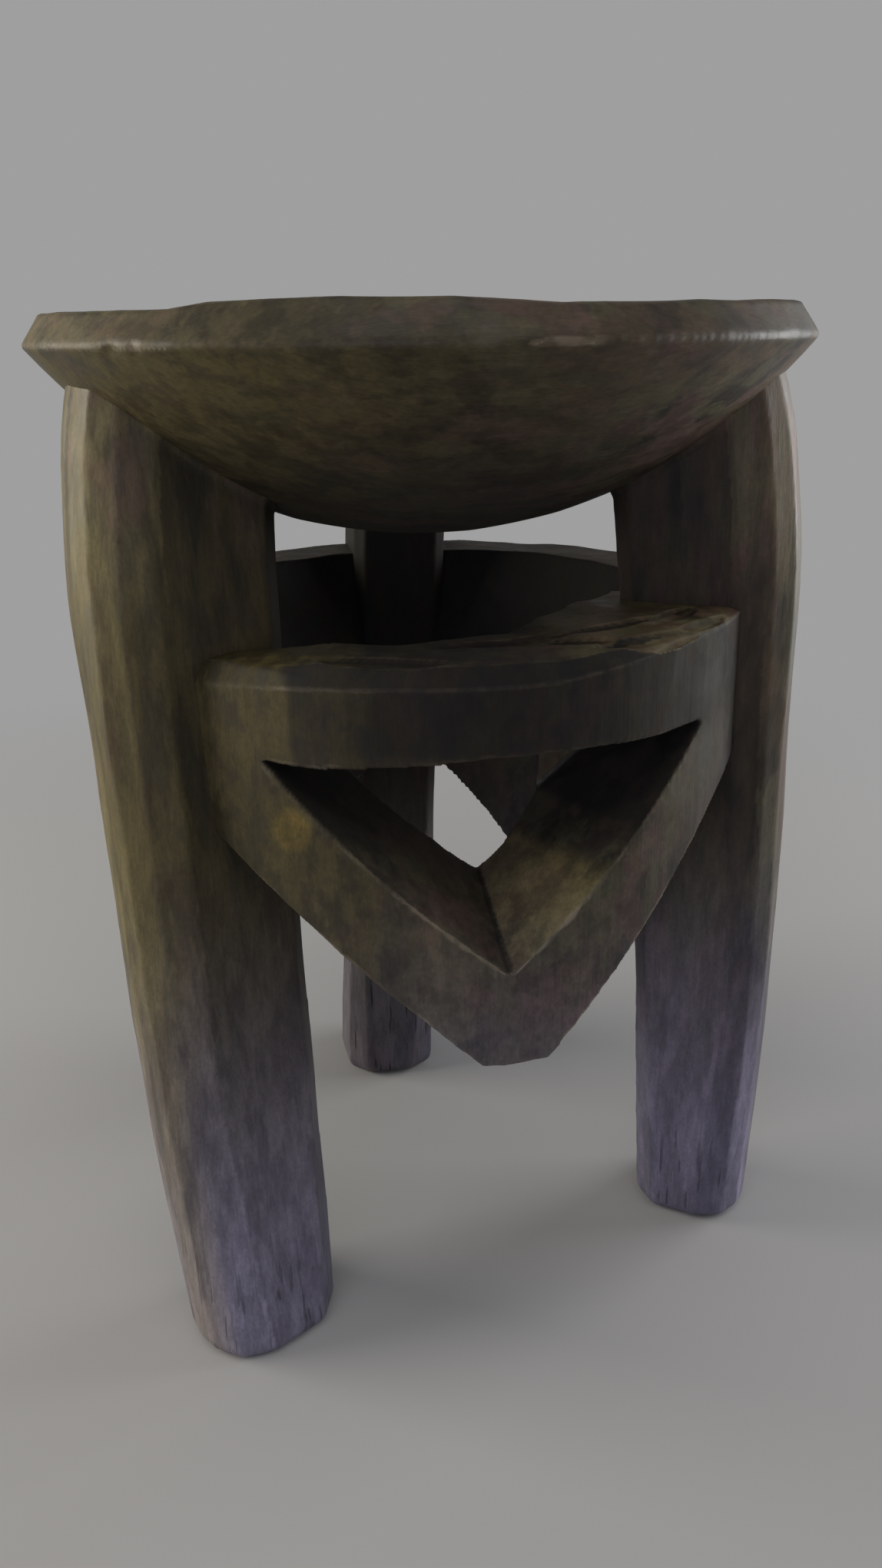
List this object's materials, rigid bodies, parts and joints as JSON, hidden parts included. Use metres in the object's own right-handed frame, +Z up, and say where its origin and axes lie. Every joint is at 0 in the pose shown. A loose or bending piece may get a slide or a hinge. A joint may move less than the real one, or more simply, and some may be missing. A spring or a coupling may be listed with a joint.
{
  "type": "stool",
  "caption": "Low carved wooden stool: round bowl-bottomed seat on thick adzed legs joined by a ring of curved stretcher panels with V-shaped aprons and windows.",
  "frame": {"origin": "on the floor under the centre of the round seat", "axes": "+Z up, the front panel faces -Y, +X to the right of someone who looks at the front"},
  "size_m": [0.345, 0.345, 0.47],
  "materials": {
    "seat_wood": "dark worn patina on bare adzed wood",
    "leg_wood": "dark worn patina on bare adzed wood",
    "panel_wood": "dark worn patina on bare adzed wood"
  },
  "bodies": {
    "root": {"seat": "seat_wood", "leg_left": "leg_wood", "leg_right": "leg_wood", "leg_back": "leg_wood", "panel_front": "panel_wood", "panel_back_right": "panel_wood", "panel_back_left": "panel_wood"}
  },
  "joints": []
}
